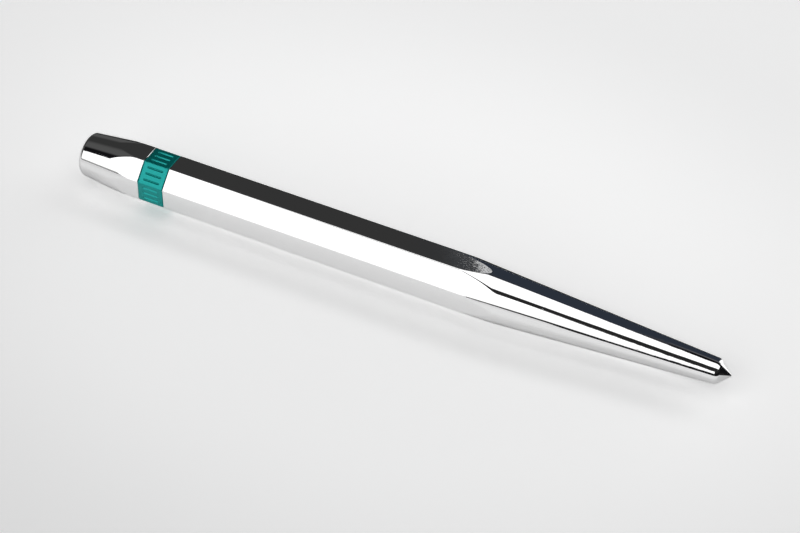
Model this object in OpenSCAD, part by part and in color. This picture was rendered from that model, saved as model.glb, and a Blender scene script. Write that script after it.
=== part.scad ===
// Octagonal centre punch with a plastic identification ring near its head.
// The punch lies on one flat: X runs from the striking face to the point, Z is up,
// and the origin is under the middle of its length. All sizes are in millimetres.

/* [Shank] */
// Length from the middle of the striking face to the end of the point
overall_length = 150; // [130:1:200]
// Width of the shank from one flat to the opposite one
across_flats = 12; // [11:0.5:16]
// Rounding of the eight long edges
edge_radius = 0.5; // [0.2:0.1:1.2]

/* [Striking head] */
// Length of the head cone, from the striking face to the middle of each flat
head_length = 9.2; // [6:0.1:14]
// Diameter of the head cone where it would meet the plane of the striking face
head_diameter = 10; // [8:0.1:10.6]
// Rounding of the rim of the striking face
head_rim_radius = 1.1; // [0.4:0.1:2]
// Radius of the slightly domed striking face
crown_radius = 40; // [20:1:120]

/* [Ring groove] */
// Distance from the striking face to the groove
groove_start = 16.45; // [15:0.05:40]
// Width of the groove along the shank
groove_width = 6.1; // [5.5:0.1:12]
// Depth of the groove below the flats
groove_depth = 1.2; // [0.8:0.1:2]
// Depth of the turned chamfer on both shoulders, below the flats
shoulder_chamfer = 0.4; // [0.1:0.05:0.5]
// Angle between that chamfer and the wall of the groove
shoulder_angle = 15; // [10:5:50]

/* [Identification ring] */
// Gap between the ring and the groove, at the floor and at each shoulder
ring_clearance = 0.05; // [0.02:0.01:0.2]
// How far the ring's faces lie below the flats
ring_inset = 0.05; // [0.02:0.01:0.3]
// Number of slots in each face of the ring
slot_count = 3; // [0:1:3]
// Length of a slot along the shank
slot_length = 4; // [2:0.1:5]
// Width of a slot
slot_width = 0.55; // [0.3:0.05:1]
// Depth of a slot
slot_depth = 0.2; // [0.1:0.05:0.6]
// Distance from one slot to the next on the same face
slot_pitch = 1.4; // [1.1:0.05:1.6]

/* [Taper and point] */
// Length of the round taper, from the middle of each flat to the tip
taper_length = 49.6; // [20:0.1:70]
// Diameter at the end of the taper
tip_diameter = 5.5; // [2:0.1:8]
// Rounding of the edge between the taper and the point
tip_edge_radius = 1.5; // [0.2:0.1:1.5]
// Included angle of the conical point
point_angle = 90; // [60:5:120]
// Rounding of the very end of the point
point_radius = 0.4; // [0.05:0.05:0.5]

/* [Hidden] */
$fn = 96;

FACE_COUNT = 8;
FACE_STEP = 360 / FACE_COUNT;
CUTTING_MARGIN = 1;
CROWN_STEPS = 6;
RIM_STEPS = 8;
TIP_STEPS = 8;

flat_radius = across_flats / 2;
corner_radius = flat_radius / cos(FACE_STEP / 2);
// Radius that is clear of the corners of the shank, and stations that are clear of its ends
clear_radius = corner_radius + CUTTING_MARGIN;
clear_start = -CUTTING_MARGIN;
clear_end = overall_length + CUTTING_MARGIN;

// Head cone, with the centre of a rim rounding that touches both the cone and the crown
head_slope = (flat_radius - head_diameter / 2) / head_length;
head_secant = sqrt(1 + head_slope * head_slope);
head_clear_radius = head_diameter / 2 + head_slope * clear_end;
rim_reach = head_diameter / 2 - head_rim_radius * head_secant;
rim_half_sum = (crown_radius - rim_reach * head_slope) / head_secant;
rim_product = rim_reach * rim_reach + (2 * crown_radius - head_rim_radius) * head_rim_radius;
rim_station = (rim_half_sum - sqrt(rim_half_sum * rim_half_sum - rim_product)) / head_secant;
rim_center = [rim_reach + head_slope * rim_station, rim_station];
crown_center = [0, crown_radius];
rim_from_crown = rim_center - crown_center;

// Point: a cone that runs into a small round nose
point_half_angle = point_angle / 2;
point_normal = [cos(point_half_angle), sin(point_half_angle)];
nose_center = [0, overall_length - point_radius];
sharp_end = nose_center[1] + point_radius / sin(point_half_angle);
tip_corner = [tip_diameter / 2, sharp_end - tip_diameter / 2 / tan(point_half_angle)];

// Taper: a cone that cuts the shank back from the middle of each flat to the tip
taper_slope = (flat_radius - tip_diameter / 2) / taper_length;
taper_normal = [1, taper_slope] / sqrt(1 + taper_slope * taper_slope);
taper_clear_radius = tip_diameter / 2 + taper_slope * (tip_corner[1] - clear_start);
tip_edge_center = tip_corner
    - tip_edge_radius * (taper_normal + point_normal) / (1 + taper_normal * point_normal);

// Groove and the space that it leaves for the ring
groove_end = groove_start + groove_width;
groove_floor_radius = flat_radius - groove_depth;
shoulder_radius = flat_radius - shoulder_chamfer;
shoulder_spread = (clear_radius - shoulder_radius) * tan(shoulder_angle);
ring_flat_radius = flat_radius - ring_inset;
ring_bore_radius = groove_floor_radius + ring_clearance;
ring_width = groove_width - 2 * ring_clearance;

// Sets what is drawn along Z, from the striking face at 0, along the shank's axis
module along_shank() {
    translate([-overall_length / 2, 0, flat_radius])
        rotate([0, 90, 0])
            children();
}

// Regular octagon with one flat on each side of both axes and rounded corners
module rounded_octagon(apothem, radius) {
    half_side = (apothem - radius) * tan(FACE_STEP / 2);
    polygon([
        for (face = [0 : FACE_COUNT - 1], side = [-1, 1])
            let (angle = face * FACE_STEP)
                [apothem * cos(angle) - side * half_side * sin(angle),
                 apothem * sin(angle) + side * half_side * cos(angle)]
    ]);
    for (face = [0 : FACE_COUNT - 1])
        rotate((face + 0.5) * FACE_STEP)
            translate([(apothem - radius) / cos(FACE_STEP / 2), 0])
                circle(r = radius);
}

// Points on an arc, from one angle to another, in a half section of [radius, station]
function arc(center, radius, from, to, steps) = [
    for (step = [0 : steps])
        let (angle = from + (to - from) * step / steps)
            center + radius * [cos(angle), sin(angle)]
];

// Half section of the turned head: crown, rim and a cone that runs on past the other end
module head_outline() {
    rim_on_crown_angle = atan2(rim_from_crown[1], rim_from_crown[0]);
    polygon(concat(
        arc(crown_center, crown_radius, -90, rim_on_crown_angle, CROWN_STEPS),
        arc(rim_center, head_rim_radius, rim_on_crown_angle, -atan(head_slope), RIM_STEPS),
        [[head_clear_radius, clear_end], [0, clear_end]]
    ));
}

// Half section of the turned taper: a cone from before the head to the tip, then the point
module taper_outline() {
    polygon(concat(
        [[0, clear_start], [taper_clear_radius, clear_start]],
        arc(tip_edge_center, tip_edge_radius, atan(taper_slope), point_half_angle, TIP_STEPS),
        arc(nose_center, point_radius, point_half_angle, 90, TIP_STEPS)
    ));
}

// Half section of the groove with its two chamfered shoulders
module groove_outline() {
    polygon([
        [groove_floor_radius, groove_start],
        [shoulder_radius, groove_start],
        [clear_radius, groove_start - shoulder_spread],
        [clear_radius, groove_end + shoulder_spread],
        [shoulder_radius, groove_end],
        [groove_floor_radius, groove_end]
    ]);
}

// Steel punch: an octagonal bar, turned at both ends and grooved for the ring
module punch_body() {
    color("gainsboro")
        along_shank()
            difference() {
                intersection() {
                    linear_extrude(height = overall_length)
                        rounded_octagon(flat_radius, edge_radius);
                    rotate_extrude()
                        head_outline();
                    rotate_extrude()
                        taper_outline();
                }
                rotate_extrude()
                    groove_outline();
            }
}

// Cutter for one slot with round ends: it lies along Z and reaches in from a face towards the axis
module slot_cutter() {
    straight = slot_length - slot_width;
    translate([ring_flat_radius - slot_depth, 0, 0])
        rotate([0, 90, 0])
            linear_extrude(height = slot_depth + CUTTING_MARGIN) {
                square([straight, slot_width], center = true);
                for (end = [-0.5, 0.5])
                    translate([end * straight, 0])
                        circle(d = slot_width);
            }
}

// Plastic ring: an octagonal sleeve in the groove with short slots in every face
module identification_ring() {
    color("teal")
        along_shank()
            translate([0, 0, groove_start + ring_clearance])
                difference() {
                    linear_extrude(height = ring_width)
                        difference() {
                            rounded_octagon(ring_flat_radius, edge_radius);
                            circle(r = ring_bore_radius);
                        }
                    for (face = [0 : FACE_COUNT - 1], slot = [0 : 1 : slot_count - 1])
                        rotate(face * FACE_STEP)
                            translate([0, (slot - (slot_count - 1) / 2) * slot_pitch, ring_width / 2])
                                slot_cutter();
                }
}

punch_body();
identification_ring();
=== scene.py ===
"""Octagonal centre punch: chromed body, moulded ring, pale floor, studio light and camera."""

import math

import bmesh
import bpy
from mathutils import Matrix, Vector


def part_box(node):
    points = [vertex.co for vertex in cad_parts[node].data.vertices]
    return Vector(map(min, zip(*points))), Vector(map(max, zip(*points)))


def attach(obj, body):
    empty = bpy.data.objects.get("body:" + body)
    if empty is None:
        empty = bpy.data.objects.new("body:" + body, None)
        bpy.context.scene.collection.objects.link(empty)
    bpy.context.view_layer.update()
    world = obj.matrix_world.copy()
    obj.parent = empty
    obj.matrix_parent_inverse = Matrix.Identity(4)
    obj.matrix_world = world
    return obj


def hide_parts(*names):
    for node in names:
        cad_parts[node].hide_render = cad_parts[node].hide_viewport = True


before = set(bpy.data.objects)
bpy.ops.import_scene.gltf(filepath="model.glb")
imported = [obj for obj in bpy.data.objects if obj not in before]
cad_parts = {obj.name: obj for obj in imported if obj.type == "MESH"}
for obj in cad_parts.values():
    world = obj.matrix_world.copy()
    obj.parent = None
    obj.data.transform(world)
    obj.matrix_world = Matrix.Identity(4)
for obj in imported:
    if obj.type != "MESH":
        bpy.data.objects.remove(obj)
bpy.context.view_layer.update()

MM = 0.001
UP = Vector((0, 0, 1))
# A length under TINY counts as nothing, points closer than WELD are one,
# and places are compared to this many digits of a metre
TINY = 1e-9
WELD = 1e-7
PLACE_DIGITS = 9

# Shank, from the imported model
body_low, body_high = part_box("punch_body")
HEAD_X = body_low.x
LENGTH = body_high.x - body_low.x
FLAT_RADIUS = (body_high.z - body_low.z) / 2
AXIS_Z = body_low.z + FLAT_RADIUS
FACE_COUNT = 8
FACE_STEP = 2 * math.pi / FACE_COUNT
EDGE_RADIUS = 0.5 * MM

# Striking head
HEAD_LENGTH = 9.2 * MM
HEAD_RADIUS = 5 * MM
HEAD_SLOPE = (FLAT_RADIUS - HEAD_RADIUS) / HEAD_LENGTH
RIM_RADIUS = 1.1 * MM
CROWN_RADIUS = 40 * MM
HEAD_BLEND = 1 * MM

# Ring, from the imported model. The flat part of its faces ends where the rounded rims start.
ring_low, ring_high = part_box("identification_ring")
RING_CLEARANCE = 0.05 * MM
RING_START = ring_low.x - HEAD_X
RING_END = ring_high.x - HEAD_X
RING_MIDDLE = (RING_START + RING_END) / 2
RING_RADIUS = (ring_high.z - ring_low.z) / 2
RING_BEVEL = 0.1 * MM
RING_HALF_LENGTH = (RING_END - RING_START) / 2 - RING_BEVEL
RING_CREASE = math.radians(50)
RING_FACE_WEIGHT = 100

# Groove that holds the ring
GROOVE_START = RING_START - RING_CLEARANCE
GROOVE_END = RING_END + RING_CLEARANCE
GROOVE_DEPTH = 1.2 * MM
GROOVE_RADIUS = FLAT_RADIUS - GROOVE_DEPTH
GROOVE_ROUNDING = 0.15 * MM
RING_BORE_RADIUS = GROOVE_RADIUS + RING_CLEARANCE
SHOULDER_DEPTH = 0.25 * MM
SHOULDER_ANGLE = math.radians(32)
SHOULDER_SPREAD = SHOULDER_DEPTH * math.tan(SHOULDER_ANGLE)
SHOULDER_ROUNDING = 0.04 * MM
SHOULDER_MARGIN = 1 * MM

# Slots in the ring
SLOT_COUNT = 3
SLOT_LENGTH = 4 * MM
SLOT_WIDTH = 0.55 * MM
SLOT_LIP = 0.08 * MM
SLOT_FOOT = 0.05 * MM
SLOT_WALL = 0.241 * MM
SLOT_STEEPNESS = math.radians(41)
SLOT_PITCH = 1.4 * MM

# Taper and point. The taper leans a little to the front at its thick end.
TIP_RADIUS = 2.75 * MM
TAPER_LENGTH = 49.6 * MM
TAPER_SLOPE = (FLAT_RADIUS - TIP_RADIUS) / TAPER_LENGTH
TAPER_BLEND = 0.9 * MM
TAPER_LEAN = 0.19 * MM
TIP_EDGE_RADIUS = 1.5 * MM
POINT_HALF_ANGLE = math.radians(45)
NOSE_RADIUS = 0.4 * MM
NOSE_STATION = LENGTH - NOSE_RADIUS
SHARP_END = NOSE_STATION + NOSE_RADIUS / math.sin(POINT_HALF_ANGLE)
TIP_STATION = SHARP_END - TIP_RADIUS / math.tan(POINT_HALF_ANGLE)

# Fineness of the meshes
FLAT_STEPS = 14
CORNER_STEPS = 8
CROWN_STEPS = 6
RIM_STEPS = 14
HEAD_CONE_STEPS = 4
BLEND_STEPS = 12
FILLET_STEPS = 4
SHANK_SHARES = (0.3, 0.6, 0.8, 0.9, 0.96)
TAPER_STEPS = 5
TIP_STEPS = 12
SLOT_END_STEPS = 10
SLOT_LIP_STEPS = 5
SLOT_FOOT_STEPS = 6
RING_BEVEL_STEPS = 4


def lerp(start, end, share):
    return start + (end - start) * share


def shares(steps, first=0):
    """Even shares of a stretch, from first / steps to 1."""
    return [step / steps for step in range(first, steps + 1)]


def radial(angle):
    """Direction away from the axis, at an angle from straight up towards the front."""
    return Vector((0, -math.sin(angle), math.cos(angle)))


def tangent(angle):
    """Direction round the axis, in which that angle grows."""
    return Vector((0, -math.cos(angle), -math.sin(angle)))


def on_axis(station):
    return Vector((HEAD_X + station, 0, AXIS_Z))


def half_side(apothem):
    """Half the width of a flat of the rounded octagon, without its corners."""
    return (apothem - EDGE_RADIUS) * math.tan(FACE_STEP / 2)


def corner_center(apothem):
    """Distance from the axis to the centre of each corner's rounding."""
    return (apothem - EDGE_RADIUS) / math.cos(FACE_STEP / 2)


def octagon(apothem):
    """Rounded octagon, as (angle, radius, angle of the normal) for each point."""
    points = []

    def add(direction, outwards, across, normal):
        angle = direction + math.atan2(across, outwards)
        points.append((angle, math.hypot(across, outwards), normal))

    side = half_side(apothem)
    for face in range(FACE_COUNT):
        middle = face * FACE_STEP
        for share in shares(FLAT_STEPS):
            add(middle, apothem, lerp(-side, side, share), middle)
        corner = middle + FACE_STEP / 2
        for share in shares(CORNER_STEPS, 1)[:-1]:
            turn = lerp(-FACE_STEP / 2, FACE_STEP / 2, share)
            outwards = corner_center(apothem) + EDGE_RADIUS * math.cos(turn)
            add(corner, outwards, EDGE_RADIUS * math.sin(turn), corner + turn)
    return points


# A point of a half section is (station, radius, axial, radial and round share of the normal).


def arc(center_station, center_radius, radius, start, end, steps):
    """Round part of the turned outline."""
    found = []
    for share in shares(steps):
        angle = lerp(start, end, share)
        found.append((
            center_station + radius * math.sin(angle),
            center_radius + radius * math.cos(angle),
            math.sin(angle),
            math.cos(angle),
            0.0,
        ))
    return found


def fillet(before, corner, after, reach):
    """Round corner between (station, radius) points, with its normal and its share of the way."""
    before, corner, after = Vector(before), Vector(corner), Vector(after)
    start = corner + (before - corner).normalized() * reach
    end = corner + (after - corner).normalized() * reach
    found = []
    for share in shares(FILLET_STEPS):
        first = start.lerp(corner, share)
        second = corner.lerp(end, share)
        along = (second - first).normalized()
        found.append((first.lerp(second, share), Vector((-along.y, along.x)), share))
    return found


def crown_and_rim():
    """Domed striking face and its rim rounding, which touches the dome and the head cone."""
    secant = math.sqrt(1 + HEAD_SLOPE ** 2)
    reach = HEAD_RADIUS - RIM_RADIUS * secant
    half_sum = CROWN_RADIUS - reach * HEAD_SLOPE
    product = reach ** 2 + (2 * CROWN_RADIUS - RIM_RADIUS) * RIM_RADIUS
    station = (half_sum - math.sqrt(half_sum ** 2 - secant ** 2 * product)) / secant ** 2
    radius = reach + HEAD_SLOPE * station
    meeting = math.atan2(station - CROWN_RADIUS, radius)
    crown = arc(CROWN_RADIUS, 0, CROWN_RADIUS, -math.pi / 2, meeting, CROWN_STEPS)
    rim = arc(station, radius, RIM_RADIUS, meeting, -math.atan(HEAD_SLOPE), RIM_STEPS)
    return crown[:-1] + rim


def tip_and_point():
    """Rounded edge at the end of the taper, the point and its round nose."""
    taper_angle = math.atan(TAPER_SLOPE)
    half_turn = (POINT_HALF_ANGLE - taper_angle) / 2
    bisector = (POINT_HALF_ANGLE + taper_angle) / 2
    back = TIP_EDGE_RADIUS / math.cos(half_turn)
    edge = arc(TIP_STATION - back * math.sin(bisector), TIP_RADIUS - back * math.cos(bisector),
               TIP_EDGE_RADIUS, taper_angle, POINT_HALF_ANGLE, TIP_STEPS)
    nose = arc(NOSE_STATION, 0, NOSE_RADIUS, POINT_HALF_ANGLE, math.pi / 2, TIP_STEPS)
    return edge + nose


def shank_point(station, cone_radius, cone_slope, blend, column, around_cone=0.0):
    """A point of the flats where a cone cuts them back, softly over the blend's length."""
    angle, flat_radius, normal_angle = column
    softness = abs(cone_slope) * blend
    cone_share = min(max(0.5 + 0.5 * (flat_radius - cone_radius) / softness, 0), 1)
    radius = lerp(flat_radius, cone_radius, cone_share) - softness * cone_share * (1 - cone_share)
    around = lerp(math.tan(normal_angle - angle), around_cone, cone_share)
    return station, radius, -cone_share * cone_slope, 1.0, around


def head_part(column, start, end):
    """From the rim to the groove: the head cone runs softly into the flats."""
    crest = (column[1] - HEAD_RADIUS) / HEAD_SLOPE
    cone = [lerp(start, crest - HEAD_BLEND, share) for share in shares(HEAD_CONE_STEPS, 1)[:-1]]
    blend = [crest + lerp(-HEAD_BLEND, HEAD_BLEND, share) for share in shares(BLEND_STEPS)]
    return [shank_point(station, HEAD_RADIUS + HEAD_SLOPE * station, HEAD_SLOPE, HEAD_BLEND, column)
            for station in cone + blend if station < end]


def taper_slope(angle):
    """Slope of the taper at an angle round the axis."""
    return TAPER_SLOPE + TAPER_LEAN * math.sin(angle) / TAPER_LENGTH


def taper_crest(column):
    """Station at which the taper starts to cut the shank back."""
    return TIP_STATION - (column[1] - TIP_RADIUS) / taper_slope(column[0])


def taper_part(column, start, end):
    """From the groove to the tip: the flats end in scallops where the taper starts."""
    angle = column[0]
    slope = taper_slope(angle)
    crest = taper_crest(column)
    flat = [lerp(start, crest - TAPER_BLEND, share) for share in SHANK_SHARES]
    blend = [crest + lerp(-TAPER_BLEND, TAPER_BLEND, share) for share in shares(BLEND_STEPS)]
    cone = [lerp(crest + TAPER_BLEND, end, share) for share in shares(TAPER_STEPS, 1)[:-1]]
    found = []
    for station in flat + blend + cone:
        to_tip = TIP_STATION - station
        radius = TIP_RADIUS + slope * to_tip
        around = -TAPER_LEAN * math.cos(angle) * to_tip / TAPER_LENGTH / radius
        found.append(shank_point(station, radius, -slope, TAPER_BLEND, column, around))
    return found


def groove_part(column):
    """The ring's groove, with a chamfer along the end of each flat."""
    angle, flat_radius, normal_angle = column
    around = math.tan(normal_angle - angle)
    shoulder_radius = flat_radius - SHOULDER_DEPTH
    first_edge = GROOVE_START - SHOULDER_SPREAD
    last_edge = GROOVE_END + SHOULDER_SPREAD
    outline = [
        (first_edge - SHOULDER_MARGIN, flat_radius),
        (first_edge, flat_radius),
        (GROOVE_START, shoulder_radius),
        (GROOVE_START, GROOVE_RADIUS),
        (GROOVE_END, GROOVE_RADIUS),
        (GROOVE_END, shoulder_radius),
        (last_edge, flat_radius),
        (last_edge + SHOULDER_MARGIN, flat_radius),
    ]
    found = []
    for before, corner, after in zip(outline, outline[1:], outline[2:]):
        reach = GROOVE_ROUNDING if corner[1] == GROOVE_RADIUS else SHOULDER_ROUNDING
        for point, normal, share in fillet(before, corner, after, reach):
            on_flat = {first_edge: 1 - share, last_edge: share}.get(corner[0], 0)
            found.append((point.x, point.y, normal.x, normal.y, around * on_flat * normal.y))
    return found


def new_object(name, mesh, material):
    piece = bpy.data.objects.new(name, mesh)
    bpy.context.scene.collection.objects.link(piece)
    mesh.materials.append(material)
    return piece


def make_body(material):
    """One closed skin, lofted along the punch from the striking face to the point."""
    columns = octagon(FLAT_RADIUS)
    front = crown_and_rim()
    back = tip_and_point()
    profiles = []
    for column in columns:
        groove = groove_part(column)
        profiles.append(
            front[1:]
            + head_part(column, front[-1][0], groove[0][0])
            + groove
            + taper_part(column, groove[-1][0], back[0][0])
            + back[:-1]
        )
    row_count = len(profiles[0])
    points = [on_axis(0)]
    normals = [Vector((-1, 0, 0))]
    # How far each point of the upper flat lies before the taper, for the frost
    run_outs = [LENGTH]
    for column, profile in zip(columns, profiles):
        angle = column[0]
        on_top = abs(column[2]) < TINY
        for station, radius, axial, outwards, around in profile:
            points.append(on_axis(station) + radial(angle) * radius)
            normal = Vector((axial, 0, 0)) + radial(angle) * outwards + tangent(angle) * around
            normals.append(normal.normalized())
            run_outs.append(taper_crest(column) - station if on_top else -LENGTH)
    points.append(on_axis(LENGTH))
    normals.append(Vector((1, 0, 0)))
    run_outs.append(-LENGTH)

    faces = []
    for index in range(len(columns)):
        here = 1 + index * row_count
        beside = 1 + (index + 1) % len(columns) * row_count
        faces.append((0, beside, here))
        for row in range(row_count - 1):
            faces.append((here + row, beside + row, beside + row + 1, here + row + 1))
        faces.append((len(points) - 1, here + row_count - 1, beside + row_count - 1))
    mesh = bpy.data.meshes.new("chromed_punch")
    mesh.from_pydata(points, [], faces)
    mesh.shade_smooth()
    mesh.normals_split_custom_set_from_vertices(normals)
    run_out = mesh.attributes.new("run_out", "FLOAT", "POINT")
    run_out.data.foreach_set("value", run_outs)
    return new_object("chromed_punch", mesh, material)


def stadium(length, width):
    """Outline of a slot with round ends, as (along, across) from its middle."""
    straight = (length - width) / 2
    radius = width / 2
    points = []
    for side in (1, -1):
        for share in shares(SLOT_END_STEPS):
            turn = lerp(-math.pi / 2, math.pi / 2, share)
            along = straight + radius * math.cos(turn)
            points.append((side * along, side * radius * math.sin(turn)))
        points.append((0, side * radius))
    return points


def cell_outline(points, low, high):
    """For each point of a slot's outline, the point on the rectangle round it that it looks at."""
    straight = (SLOT_LENGTH - SLOT_WIDTH) / 2
    room = RING_HALF_LENGTH - straight
    found = []
    for along, across in points:
        side = math.copysign(1, along) if abs(along) > straight - TINY else 0
        offset = along - side * straight
        limit = high if across > 0 else -low
        steps = []
        if abs(offset) > TINY:
            steps.append(room / abs(offset))
        if abs(across) > TINY:
            steps.append(limit / abs(across))
        step = min(steps)
        found.append([side * straight + offset * step if side else along, across * step])
    for corner_along in (-RING_HALF_LENGTH, RING_HALF_LENGTH):
        for corner_across in (low, high):
            corner = (corner_along, corner_across)
            nearest = min(found, key=lambda point: math.dist(point, corner))
            nearest[:] = corner
    return found


def slot_wall():
    """Section of a slot's side, as (inset, depth): a round lip, a sloping wall and a round foot."""
    found = []
    for share in shares(SLOT_LIP_STEPS):
        turn = share * SLOT_STEEPNESS
        found.append((SLOT_LIP * math.sin(turn), SLOT_LIP * (1 - math.cos(turn))))
    wall_inset = found[-1][0] + SLOT_WALL * math.cos(SLOT_STEEPNESS)
    wall_depth = found[-1][1] + SLOT_WALL * math.sin(SLOT_STEEPNESS)
    for share in shares(SLOT_FOOT_STEPS):
        turn = (1 - share) * SLOT_STEEPNESS
        found.append((
            wall_inset + SLOT_FOOT * (math.sin(SLOT_STEEPNESS) - math.sin(turn)),
            wall_depth + SLOT_FOOT * (math.cos(turn) - math.cos(SLOT_STEEPNESS)),
        ))
    return found


def ring_point(face, along, across, depth):
    """Place under a face of the ring, told along and across from the face's middle."""
    angle = face * FACE_STEP
    outwards = radial(angle) * (RING_RADIUS - depth)
    return on_axis(RING_MIDDLE + along) + outwards + tangent(angle) * across


def band(mesh_data, first, second):
    """Faces between two loops of as many points."""
    for index in range(len(first)):
        after = (index + 1) % len(first)
        mesh_data.faces.new((first[index], first[after], second[after], second[index]))


def slotted_faces(mesh_data):
    """The ring's faces with their slots. Returns where the points on their long edges are."""
    outline = stadium(SLOT_LENGTH, SLOT_WIDTH)
    wall = slot_wall()
    side = half_side(RING_RADIUS)
    edge_points = set()
    for face in range(FACE_COUNT):
        for slot in range(SLOT_COUNT):
            is_last = slot == SLOT_COUNT - 1
            center = (slot - (SLOT_COUNT - 1) / 2) * SLOT_PITCH
            low = -side - center if slot == 0 else -SLOT_PITCH / 2
            high = side - center if is_last else SLOT_PITCH / 2
            cell = cell_outline(outline, low, high)
            if is_last:
                on_edge = [along for along, across in cell if abs(across - high) < TINY]
                edge_points.update(round(along, PLACE_DIGITS) for along in on_edge)
            loops = [(cell, 0)]
            for inset, depth in wall:
                loops.append((stadium(SLOT_LENGTH - 2 * inset, SLOT_WIDTH - 2 * inset), depth))
            previous = None
            for loop, depth in loops:
                current = [mesh_data.verts.new(ring_point(face, along, center + across, depth))
                           for along, across in loop]
                if previous:
                    band(mesh_data, previous, current)
                previous = current
            mesh_data.faces.new(previous)
    return sorted(edge_points)


def rounded_corners(mesh_data, edge_points):
    """The ring's rounded edges, which join its faces."""
    for face in range(FACE_COUNT):
        corner = (face + 0.5) * FACE_STEP
        center = radial(corner) * corner_center(RING_RADIUS)
        rows = []
        for share in shares(CORNER_STEPS):
            turn = corner + lerp(-FACE_STEP / 2, FACE_STEP / 2, share)
            place = center + radial(turn) * EDGE_RADIUS
            rows.append([mesh_data.verts.new(on_axis(RING_MIDDLE + along) + place)
                         for along in edge_points])
        for first, second in zip(rows, rows[1:]):
            for index in range(len(edge_points) - 1):
                mesh_data.faces.new((first[index], second[index], second[index + 1], first[index + 1]))


def ring_outward(place):
    """Direction in which the ring's octagon faces at a place on its outline."""
    angle = math.atan2(-place.y, place.z - AXIS_Z)
    face = round(angle / FACE_STEP)
    across = (place - on_axis(0)).dot(tangent(face * FACE_STEP))
    if abs(across) <= half_side(RING_RADIUS) + WELD:
        return radial(face * FACE_STEP)
    corner = (face + math.copysign(0.5, across)) * FACE_STEP
    away = place - on_axis(0) - radial(corner) * corner_center(RING_RADIUS)
    away.x = 0
    return away.normalized()


def grow(mesh_data, edges):
    """Extrudes a loop of edges on the spot. Returns the new edges and their points."""
    grown = bmesh.ops.extrude_edge_only(mesh_data, edges=edges)["geom"]
    new_edges = [item for item in grown if isinstance(item, bmesh.types.BMEdge)]
    new_points = [item for item in grown if isinstance(item, bmesh.types.BMVert)]
    return new_edges, new_points


def ring_end(mesh_data, side):
    """A rounded rim and the end face within it. Returns the edges round the bore."""
    end_x = HEAD_X + RING_MIDDLE + side * RING_HALF_LENGTH
    edges = [edge for edge in mesh_data.edges
             if edge.is_boundary and all(abs(point.co.x - end_x) < WELD for point in edge.verts)]
    for share in shares(RING_BEVEL_STEPS, 1):
        turn = share * math.pi / 2
        last_turn = (share - 1 / RING_BEVEL_STEPS) * math.pi / 2
        edges, points = grow(mesh_data, edges)
        for point in points:
            point.co += ring_outward(point.co) * RING_BEVEL * (math.cos(turn) - math.cos(last_turn))
            point.co.x += side * RING_BEVEL * (math.sin(turn) - math.sin(last_turn))
    edges, points = grow(mesh_data, edges)
    for point in points:
        angle = math.atan2(-point.co.y, point.co.z - AXIS_Z)
        point.co = Vector((point.co.x, 0, AXIS_Z)) + radial(angle) * RING_BORE_RADIUS
    return edges


def make_ring(material):
    """Octagonal sleeve in the punch's groove, with three slots in every face."""
    mesh_data = bmesh.new()
    rounded_corners(mesh_data, slotted_faces(mesh_data))
    bmesh.ops.remove_doubles(mesh_data, verts=mesh_data.verts[:], dist=WELD)
    bore_edges = ring_end(mesh_data, -1) + ring_end(mesh_data, 1)
    bmesh.ops.bridge_loops(mesh_data, edges=bore_edges)
    bmesh.ops.recalc_face_normals(mesh_data, faces=mesh_data.faces[:])
    mesh = bpy.data.meshes.new("moulded_ring")
    mesh_data.to_mesh(mesh)
    mesh_data.free()
    mesh.shade_smooth()
    mesh.set_sharp_from_angle(angle=RING_CREASE)
    ring = new_object("moulded_ring", mesh, material)
    weighted = ring.modifiers.new("flat_faces", "WEIGHTED_NORMAL")
    weighted.keep_sharp = True
    weighted.weight = RING_FACE_WEIGHT
    return ring


class Graph:
    """A node tree that is written as expressions."""

    # A mix node has sockets for each type of value, and these are the ones for colours
    FIRST_COLOUR = 6
    SECOND_COLOUR = 7
    MIXED_COLOUR = 2

    def __init__(self, tree):
        self.tree = tree
        tree.nodes.clear()

    def node(self, kind, **settings):
        made = self.tree.nodes.new(kind)
        for name, value in settings.items():
            setattr(made, name, value)
        return made

    def put(self, value, socket):
        if isinstance(value, bpy.types.NodeSocket):
            self.tree.links.new(value, socket)
        else:
            socket.default_value = value

    def fill(self, made, values):
        for value, socket in zip(values, made.inputs):
            self.put(value, socket)
        return made.outputs

    def math(self, operation, *values):
        return self.fill(self.node("ShaderNodeMath", operation=operation), values)[0]

    def vector_math(self, operation, *values):
        return self.fill(self.node("ShaderNodeVectorMath", operation=operation), values)

    def split(self, vector):
        return self.fill(self.node("ShaderNodeSeparateXYZ"), [vector])

    def ramp(self, value, low, high, start=0.0, end=1.0):
        """Goes smoothly from start to end while the value goes from low to high."""
        made = self.node("ShaderNodeMapRange", interpolation_type="SMOOTHSTEP")
        return self.fill(made, (value, low, high, start, end))[0]

    def mix(self, share, first, second):
        made = self.node("ShaderNodeMix", data_type="RGBA")
        self.put(share, made.inputs["Factor"])
        self.put(first, made.inputs[self.FIRST_COLOUR])
        self.put(second, made.inputs[self.SECOND_COLOUR])
        return made.outputs[self.MIXED_COLOUR]

    def noise(self, vector, scale, detail, roughness):
        made = self.node("ShaderNodeTexNoise")
        self.put(vector, made.inputs["Vector"])
        self.put(scale, made.inputs["Scale"])
        self.put(detail, made.inputs["Detail"])
        self.put(roughness, made.inputs["Roughness"])
        return made.outputs[0]

    def stretch(self, vector, scale, turn=0.0):
        """Scales a place along each axis, then turns it about the upright one."""
        made = self.node("ShaderNodeMapping")
        self.put(vector, made.inputs["Vector"])
        self.put(scale, made.inputs["Scale"])
        self.put((0, 0, turn), made.inputs["Rotation"])
        return made.outputs[0]

    def bump(self, height, distance, strength=1.0, normal=None):
        made = self.node("ShaderNodeBump")
        self.put(height, made.inputs["Height"])
        self.put(distance, made.inputs["Distance"])
        self.put(strength, made.inputs["Strength"])
        if normal is not None:
            self.put(normal, made.inputs["Normal"])
        return made.outputs[0]


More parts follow.
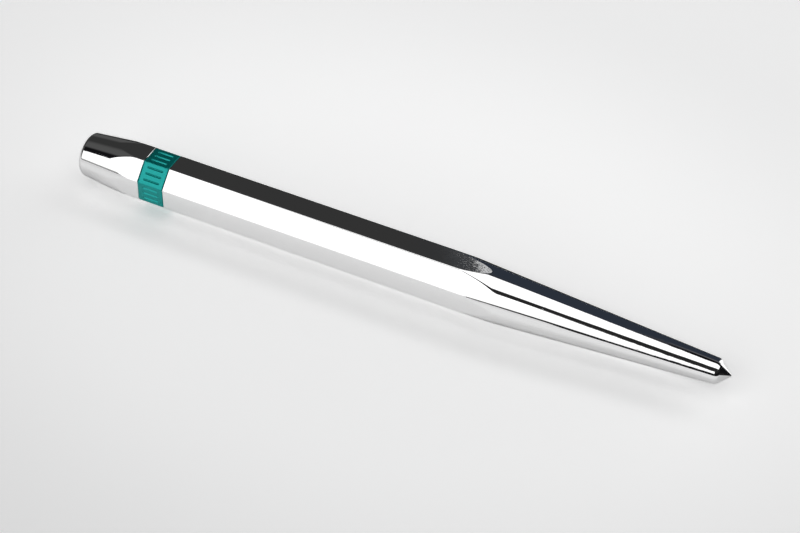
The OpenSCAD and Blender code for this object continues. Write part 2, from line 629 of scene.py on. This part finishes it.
def grey(level):
    return (level, level, level, 1)


def new_material(name):
    material = bpy.data.materials.new(name)
    material.use_nodes = True
    graph = Graph(material.node_tree)
    output = graph.node("ShaderNodeOutputMaterial")
    shader = graph.node("ShaderNodeBsdfPrincipled")
    graph.put(shader.outputs[0], output.inputs["Surface"])
    place = graph.node("ShaderNodeTexCoord").outputs["Object"]
    return material, graph, shader.inputs, place


# Chrome plate: its waves grow from one station to the other
CHROME = grey(0.88)
CHROME_ROUGHNESS = (0.02, 0.05)
SMEARS_RANGE = (0.3, 0.8)
WAVES_HEIGHT = 0.012 * MM
WAVES_STATIONS = (105 * MM, 145 * MM)
WAVES_SHARES = (0.15, 1.0)
MARKS_HEIGHT = 0.004 * MM
MARKS_THRESHOLD = (0.74, 0.82)

# Frost on the upper flat: dense from its station on, with a slanting, ragged edge.
# Its crystals lean to the front. A thin dust lies before it.
FROST = (0.98, 0.99, 1.0, 1)
FROST_ROUGHNESS = 0.5
FROST_STATION = 94.9 * MM
FROST_DEPTHS = (-4.5 * MM, 1 * MM)
FROST_DENSITY = 0.37
FROST_THRESHOLD = (0.79, 0.86)
FROST_SLANT = 0.75
FROST_RAGGEDNESS = 5 * MM
FROST_EDGE = 0.06 * MM
FROST_HEIGHT = 0.06 * MM
FROST_LEAN = (0, -0.35, 0)
FINE_SHARE = 0.4
DUST_DEPTHS = (-12 * MM, -1 * MM)
DUST_LEVEL = 0.22
DUST_THRESHOLD = (0.4, 0.62)


def chrome():
    """Bright chrome plate, frosted where the upper flat runs out into the taper."""
    material, graph, inputs, place = new_material("chrome_plate")
    along, across, _ = graph.split(place)

    run_out = graph.node("ShaderNodeAttribute", attribute_name="run_out").outputs["Fac"]
    on_flat = graph.ramp(run_out, 0.0, FROST_EDGE)
    tatters = graph.noise(place, scale=900, detail=3, roughness=0.7)
    ragged = graph.math("MULTIPLY_ADD", tatters, FROST_RAGGEDNESS, -FROST_RAGGEDNESS / 2)
    slanted = graph.math("MULTIPLY_ADD", across, FROST_SLANT, along)
    depth = graph.math("ADD", graph.math("SUBTRACT", slanted, HEAD_X + FROST_STATION), ragged)
    density = graph.ramp(depth, *FROST_DEPTHS, 0.0, FROST_DENSITY)
    streaks = graph.stretch(place, (1.0, 2.2, 1.0), turn=0.8)
    coarse = graph.noise(streaks, scale=2600, detail=3, roughness=0.65)
    fine = graph.noise(place, scale=7500, detail=2, roughness=0.6)
    coarse_part = graph.math("MULTIPLY", coarse, 1 - FINE_SHARE)
    grain = graph.math("MULTIPLY_ADD", fine, FINE_SHARE, coarse_part)
    speckle = graph.ramp(graph.math("ADD", grain, density), *FROST_THRESHOLD)
    dust = graph.math("MULTIPLY", graph.ramp(depth, *DUST_DEPTHS, 0.0, DUST_LEVEL),
                      graph.ramp(coarse, *DUST_THRESHOLD))
    frosted = graph.math("MULTIPLY", on_flat, graph.math("MAXIMUM", speckle, dust))

    smears = graph.noise(graph.stretch(place, (60, 900, 900)), scale=1, detail=3, roughness=0.55)
    polish = graph.ramp(smears, *SMEARS_RANGE, *CHROME_ROUGHNESS)
    graph.put(graph.math("MULTIPLY_ADD", frosted, FROST_ROUGHNESS, polish), inputs["Roughness"])
    graph.put(graph.mix(frosted, CHROME, FROST), inputs["Base Color"])
    graph.put(graph.ramp(frosted, 0.0, 1.0, 1.0, 0.0), inputs["Metallic"])

    waves = graph.noise(graph.stretch(place, (500, 700, 700)), scale=1, detail=1, roughness=0.4)
    stations = [HEAD_X + station for station in WAVES_STATIONS]
    towards_tip = graph.ramp(along, *stations, *WAVES_SHARES)
    plate = graph.bump(graph.math("MULTIPLY", waves, towards_tip), WAVES_HEIGHT)
    rubs = graph.noise(graph.stretch(place, (330, 2400, 2400)), scale=1, detail=1, roughness=0.5)
    marked = graph.bump(graph.ramp(rubs, *MARKS_THRESHOLD), MARKS_HEIGHT, normal=plate)
    leaning = graph.vector_math("MULTIPLY_ADD", frosted, FROST_LEAN, marked)["Vector"]
    crystals = graph.bump(graph.math("MULTIPLY", grain, frosted), FROST_HEIGHT, normal=leaning)
    graph.put(crystals, inputs["Normal"])
    return material


# Teal plastic of the ring
TEAL_DEEP = (0.002, 0.305, 0.285, 1)
TEAL_LIGHT = (0.004, 0.335, 0.315, 1)
TEAL_SHEEN = 0.65
TEAL_IOR = 1.5
TEAL_ROUGHNESS = (0.15, 0.21)
TEAL_TEXTURE_RANGE = (0.3, 0.7)
TEAL_TEXTURE_HEIGHT = 0.002 * MM
TEAL_TEXTURE_STRENGTH = 0.6


def plastic():
    """Teal moulded plastic with a satin sheen of its own colour."""
    material, graph, inputs, place = new_material("teal_plastic")
    cloud = graph.noise(place, scale=420, detail=3, roughness=0.6)
    graph.put(graph.mix(cloud, TEAL_DEEP, TEAL_LIGHT), inputs["Base Color"])
    texture = graph.noise(place, scale=6500, detail=2, roughness=0.5)
    graph.put(graph.ramp(texture, *TEAL_TEXTURE_RANGE, *TEAL_ROUGHNESS), inputs["Roughness"])
    graph.put(graph.bump(texture, TEAL_TEXTURE_HEIGHT, TEAL_TEXTURE_STRENGTH), inputs["Normal"])
    graph.put(TEAL_SHEEN, inputs["Metallic"])
    graph.put(TEAL_IOR, inputs["IOR"])
    return material


# Floor, and its colours: as the camera sees it, as it lights the punch,
# and the painted dark reflection: black that only the chrome's reflected rays see beyond the sheet
FLOOR_HALF = 30.0
FLOOR_GAP = 0.02 * MM
FLOOR_ROUGHNESS = 0.9
FLOOR_SPECULAR = 0.1
FLOOR_PALE = (grey(0.96), grey(0.99))
FLOOR_LIGHTING = grey(0.8)
FLOOR_PAINTED_DARK = grey(0.01)

# The sheet of floor that the chrome mirrors. It runs on past the tip at the back,
# and its front edge comes closer from the corner on.
# Beyond the sheet the floor is painted black for reflected rays only: a painted dark reflection in the
# chrome.
SHEET_BACK = 50 * MM
SHEET_BACK_OPENS = (70 * MM, 90 * MM)
SHEET_FRONT = 90 * MM
SHEET_LONG = 500 * MM
SHEET_END = 105 * MM
SHEET_CORNER = (-5 * MM, 40 * MM)
SHEET_BLUR = 4 * MM
# Distances from the axis over which the mirrored floor's glow comes back: a painted shadow near the
# punch, seen in the chrome only
SHEET_PAINTED_SHADOW = (2 * MM, 17 * MM)

# Glow of the floor: an even pale glow with painted light on it, strongest in the middle, and more to the
# back for the camera
GLOW_DISTANCES = (60 * MM, 160 * MM)
GLOW_STRENGTHS = (0.32, 0.2)
GLOW_SQUEEZE = (1, 1.4, 0)
BACK_PLACES = (-90 * MM, 120 * MM)
BACK_PAINTED_LIGHT = (-0.04, 0.11)

# Beside the punch the floor's glow holds a painted light line along its foot, and then a painted shadow
FOOT_PLACES = (20 * MM, 70 * MM)
FOOT_WIDTHS = (2.5 * MM, -1 * MM)
FOOT_LINE = 4 * MM
PAINTED_LINE_STRENGTH = 0.17
SHADOW_ENDS = (8 * MM, 14 * MM)
PAINTED_SHADOW_STRENGTH = 0.11
SHADOW_FADES = (82 * MM, 56 * MM)


def mirrored_sheet(graph, x, y):
    """Where the chrome sees the pale floor, and not the floor painted black beyond it, a painted dark
    reflection.
    """
    front_edge = graph.ramp(x, *SHEET_CORNER, SHEET_LONG, SHEET_FRONT)
    past_front = graph.math("SUBTRACT", graph.math("MULTIPLY", y, -1.0), front_edge)
    back_edge = graph.ramp(x, *SHEET_BACK_OPENS, SHEET_BACK, SHEET_LONG)
    past_sides = graph.math("MAXIMUM", past_front, graph.math("SUBTRACT", y, back_edge))
    end_edge = graph.ramp(y, -FLAT_RADIUS, FLAT_RADIUS, SHEET_END, SHEET_LONG)
    past_sheet = graph.math("MAXIMUM", past_sides, graph.math("SUBTRACT", x, end_edge))
    return graph.ramp(past_sheet, SHEET_BLUR, -SHEET_BLUR)


def painted_light_by_punch(graph, x, from_axis):
    """What the painted light line and the painted shadow along the punch add to the floor's glow."""
    foot = graph.ramp(x, *FOOT_PLACES, *FOOT_WIDTHS)
    from_foot = graph.math("SUBTRACT", from_axis, foot)
    line = graph.ramp(from_foot, 0.0, FOOT_LINE, PAINTED_LINE_STRENGTH, -PAINTED_SHADOW_STRENGTH)
    after_shadow = graph.ramp(from_foot, *SHADOW_ENDS, 0.0, PAINTED_SHADOW_STRENGTH)
    before_ends = graph.ramp(graph.math("ABSOLUTE", x), *SHADOW_FADES)
    return graph.math("MULTIPLY", graph.math("ADD", line, after_shadow), before_ends)


def paper():
    """Pale matt floor, with painted light and shade in its glow. The chrome mirrors a sheet of it round
    the punch; beyond it the floor is painted black for reflected rays, a painted dark reflection.
    """
    material, graph, inputs, place = new_material("pale_floor")
    rays = graph.node("ShaderNodeLightPath").outputs
    to_eye = rays["Is Camera Ray"]
    mirrored = graph.math("MAXIMUM", rays["Is Glossy Ray"], rays["Is Transmission Ray"])
    x, y, _ = graph.split(place)
    from_axis = graph.math("ABSOLUTE", y)
    on_sheet = graph.math("MULTIPLY", mirrored, mirrored_sheet(graph, x, y))

    cloud = graph.noise(place, scale=9, detail=2, roughness=0.5)
    pale = graph.mix(cloud, *FLOOR_PALE)
    # Reflected rays off the sheet see black here: painted dark reflection.
    bounce_or_painted_dark = graph.mix(mirrored, FLOOR_LIGHTING, FLOOR_PAINTED_DARK)
    graph.put(graph.mix(graph.math("MAXIMUM", to_eye, on_sheet), bounce_or_painted_dark, pale), inputs["Base Color"])
    graph.put(FLOOR_ROUGHNESS, inputs["Roughness"])
    graph.put(FLOOR_SPECULAR, inputs["Specular IOR Level"])
    graph.put(grey(1), inputs["Emission Color"])

    # Painted light: the glow is stronger in the middle and at the back, and a little dimmer at the
    # front.
    from_middle = graph.vector_math("LENGTH", graph.stretch(place, GLOW_SQUEEZE))["Value"]
    strength = graph.ramp(from_middle, *GLOW_DISTANCES, *GLOW_STRENGTHS)
    painted_light_to_back = graph.ramp(y, *BACK_PLACES, *BACK_PAINTED_LIGHT)
    # The painted light line and painted shadow along the punch join the glow that the camera sees.
    eye_strength = graph.math("ADD", graph.math("ADD", strength, painted_light_to_back),
                              painted_light_by_punch(graph, x, from_axis))
    # Painted shadow: near the punch the floor that the chrome mirrors loses its glow.
    mirror_strength = graph.math("MULTIPLY", strength, graph.ramp(from_axis, *SHEET_PAINTED_SHADOW))
    glow = graph.math("ADD", graph.math("MULTIPLY", to_eye, eye_strength),
                      graph.math("MULTIPLY", on_sheet, mirror_strength))
    graph.put(glow, inputs["Emission Strength"])
    return material


def make_floor():
    below = body_low.z - FLOOR_GAP
    corners = ((-1, -1), (1, -1), (1, 1), (-1, 1))
    mesh = bpy.data.meshes.new("floor")
    mesh.from_pydata([(x * FLOOR_HALF, y * FLOOR_HALF, below) for x, y in corners], [], [(0, 1, 2, 3)])
    new_object("floor", mesh, paper())


# Studio, seen from the punch: a white panel overhead and in front, in a dark room.
# A place in it is told by where its direction meets a level ceiling one unit above the punch,
# to the right and away, and near the horizon by its bearing, which is right over away.
# A pair of values gives the start and the end of a change.
LOWEST_HEIGHT = 0.02
LEAST_AWAY = 0.05
PANEL_LEVEL_OVERHEAD = 1.35
PANEL_LEVEL_FRONT = 1.5
PANEL_LEVEL_LOW = 1.2
PANEL_FRONT_AWAY = (-0.2, -0.8)
PANEL_LOW_HEIGHTS = (0.25, 0.6)
PANEL_BACK = (0.43, 0.16)
PANEL_BACK_STEP = (-0.14, 0.06)
PANEL_LEFT_SLOPE = 1.14
PANEL_LEFT_OFFSET = 0.41
PANEL_LEFT_OPENS = (-0.3, -0.18)
PANEL_RIGHT = 1.1
PANEL_BLUR = 0.012
PANEL_RIGHT_BLUR = 0.05

# The room behind the panel
BLACK = (0.006, 0.006, 0.007, 1)
DARK_LEFT = grey(0.036)
DARK_RIGHT = (0.027, 0.034, 0.048, 1)
DARK_BEARINGS = (-0.45, -0.2)
DIM_LEFT = grey(0.085)
DIM_BEARINGS = (-0.35, -0.55)
DIM_HEIGHTS = (0.5, 0.3)
DIM_BORDER = (0.7, 0.4)
BLACK_BORDER = (0.24, 0.14)
TIP_RIGHT = (-0.05, 0.0)
TIP_GREY = (0.12, 0.12, 0.13, 1)
TIP_GREY_BORDER = (0.62, 0.54)
TIP_BLACK_BORDER = (0.41, 0.35)
WHITE_WALL = grey(1.2)
WALL_LEFT = (0.14, 0.22)
WALL_RIGHT = (1.8, 1.7)
WALL_TOP = (0.6, 0.9)

# In front: the dark wedge of the camera and what holds it
SHADE = grey(0.02)
WEDGE_SLOPE = -0.2
WEDGE_OFFSET = -0.27
WEDGE_STEP_AWAY = (-0.95, -0.85)
WEDGE_STEP = (9.0, -0.46)
WEDGE_TOP_RIGHT = (-0.14, 0.02)
WEDGE_TOP = (-0.46, -0.53)
WEDGE_BLUR = 0.02
WEDGE_TOP_BLUR = 0.03

# In front and low: the gap between the panel and the floor, whose height changes along the punch
FAINT_GAP = grey(0.3)
GAP_TONE = (-0.5, -0.3)
GAP_HEAD = (-0.55, -0.48, 0.07, -0.02)
GAP_TAPER = (-0.17, -0.06, 0.0, 0.13)
GAP_TIP = (-0.02, 0.03, 0.0, 0.12)
GAP_BLUR = 0.01
GAP_FRONT = (0.0, -0.1)


def room_behind(graph, z, right, away, bearing, past_back, past_edge):
    """Dark room, a little bluer to the right and dim low down at the left, with a white wall."""
    room = graph.mix(graph.ramp(bearing, *DARK_BEARINGS), DARK_LEFT, DARK_RIGHT)
    to_left = graph.ramp(bearing, *DIM_BEARINGS)
    by_tip = graph.ramp(right, *TIP_RIGHT)
    by_wall = graph.math("MULTIPLY", graph.ramp(bearing, *WALL_LEFT), graph.ramp(bearing, *WALL_RIGHT))
    for side, border, colour in (
        (to_left, graph.ramp(z, *DIM_HEIGHTS), DIM_LEFT),
        (to_left, graph.ramp(past_edge, *DIM_BORDER), DIM_LEFT),
        (to_left, graph.ramp(past_edge, *BLACK_BORDER), BLACK),
        (by_tip, graph.ramp(past_back, *TIP_GREY_BORDER), TIP_GREY),
        (by_tip, graph.ramp(past_back, *TIP_BLACK_BORDER), BLACK),
        (by_wall, graph.ramp(away, *WALL_TOP), WHITE_WALL),
    ):
        room = graph.mix(graph.math("MULTIPLY", side, border), room, colour)
    return room


def make_studio():
    world = bpy.data.worlds.new("studio")
    bpy.context.scene.world = world
    world.use_nodes = True
    graph = Graph(world.node_tree)
    output = graph.node("ShaderNodeOutputWorld")
    background = graph.node("ShaderNodeBackground")
    graph.put(background.outputs[0], output.inputs["Surface"])
    x, y, z = graph.split(graph.node("ShaderNodeTexCoord").outputs["Generated"])
    height = graph.math("MAXIMUM", z, LOWEST_HEIGHT)
    right = graph.math("DIVIDE", x, height)
    away = graph.math("DIVIDE", y, height)
    bearing = graph.math("DIVIDE", x, graph.math("MAXIMUM", y, LEAST_AWAY))

    left_edge = graph.math("MULTIPLY_ADD", right, PANEL_LEFT_SLOPE, PANEL_LEFT_OFFSET)
    left_edge = graph.math("ADD", left_edge, graph.ramp(right, *PANEL_LEFT_OPENS))
    past_left = graph.math("DIVIDE", graph.math("SUBTRACT", away, left_edge),
                           math.hypot(1, PANEL_LEFT_SLOPE))
    past_back = graph.math("SUBTRACT", away, graph.ramp(right, *PANEL_BACK_STEP, *PANEL_BACK))
    past_right = graph.math("SUBTRACT", right, PANEL_RIGHT)
    past_edge = graph.math("MAXIMUM", past_left, past_back)

    room = room_behind(graph, z, right, away, bearing, past_back, past_edge)
    level = graph.ramp(away, *PANEL_FRONT_AWAY, PANEL_LEVEL_OVERHEAD, PANEL_LEVEL_FRONT)
    low_level = graph.ramp(z, *PANEL_LOW_HEIGHTS, PANEL_LEVEL_LOW, PANEL_LEVEL_FRONT)
    level = graph.math("MINIMUM", level, low_level)
    sky = graph.mix(graph.ramp(past_edge, -PANEL_BLUR, PANEL_BLUR), level, room)
    past_panel = graph.ramp(past_right, -PANEL_RIGHT_BLUR, PANEL_RIGHT_BLUR)
    to_right = graph.math("MULTIPLY", past_panel, graph.ramp(bearing, *reversed(WALL_RIGHT)))
    sky = graph.mix(to_right, sky, BLACK)

    wedge_edge = graph.math("MULTIPLY_ADD", away, WEDGE_SLOPE, WEDGE_OFFSET)
    wedge_edge = graph.math("MINIMUM", wedge_edge, graph.ramp(away, *WEDGE_STEP_AWAY, *WEDGE_STEP))
    past_wedge_edge = graph.math("SUBTRACT", right, wedge_edge)
    past_wedge_top = graph.math("SUBTRACT", away, graph.ramp(right, *WEDGE_TOP_RIGHT, *WEDGE_TOP))
    in_wedge = graph.math("MULTIPLY", graph.ramp(past_wedge_edge, -WEDGE_BLUR, WEDGE_BLUR),
                          graph.ramp(past_wedge_top, WEDGE_TOP_BLUR, -WEDGE_TOP_BLUR))
    sky = graph.mix(in_wedge, sky, SHADE)

    gap_top = graph.math("ADD", graph.ramp(x, *GAP_HEAD), graph.ramp(x, *GAP_TAPER))
    gap_top = graph.math("ADD", gap_top, graph.ramp(x, *GAP_TIP))
    past_gap = graph.math("SUBTRACT", z, gap_top)
    in_gap = graph.math("MULTIPLY", graph.ramp(past_gap, GAP_BLUR, -GAP_BLUR), graph.ramp(y, *GAP_FRONT))
    gap_colour = graph.mix(graph.ramp(x, *GAP_TONE), FAINT_GAP, BLACK)
    graph.put(graph.mix(in_gap, sky, gap_colour), background.inputs["Color"])


# Camera: it looks down at the punch from the front, a little from the side of the point
CAMERA_AIM = Vector((2.79 * MM, -1.59 * MM, 6 * MM))
CAMERA_AZIMUTH = math.radians(23.46)
CAMERA_ELEVATION = math.radians(43.93)
CAMERA_ROLL = math.radians(2.44)
CAMERA_DISTANCE = 357.9 * MM
CAMERA_LENS = 76.5
CAMERA_CLIP_START = 10 * MM


def make_camera():
    data = bpy.data.cameras.new("camera")
    data.lens = CAMERA_LENS
    data.clip_start = CAMERA_CLIP_START
    camera = bpy.data.objects.new("camera", data)
    bpy.context.scene.collection.objects.link(camera)
    level_share = math.cos(CAMERA_ELEVATION)
    back = Vector((
        level_share * math.sin(CAMERA_AZIMUTH),
        -level_share * math.cos(CAMERA_AZIMUTH),
        math.sin(CAMERA_ELEVATION),
    ))
    right = UP.cross(back).normalized()
    upright = Matrix((right, back.cross(right), back)).transposed()
    turned = upright @ Matrix.Rotation(CAMERA_ROLL, 3, "Z")
    camera.matrix_world = Matrix.LocRotScale(CAMERA_AIM + back * CAMERA_DISTANCE, turned, None)
    bpy.context.scene.camera = camera


body = make_body(chrome())
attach(body, "root")
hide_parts("punch_body")

ring = make_ring(plastic())
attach(ring, "root")
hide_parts("identification_ring")

make_floor()
make_studio()
make_camera()
bpy.context.scene.view_settings.view_transform = "Standard"
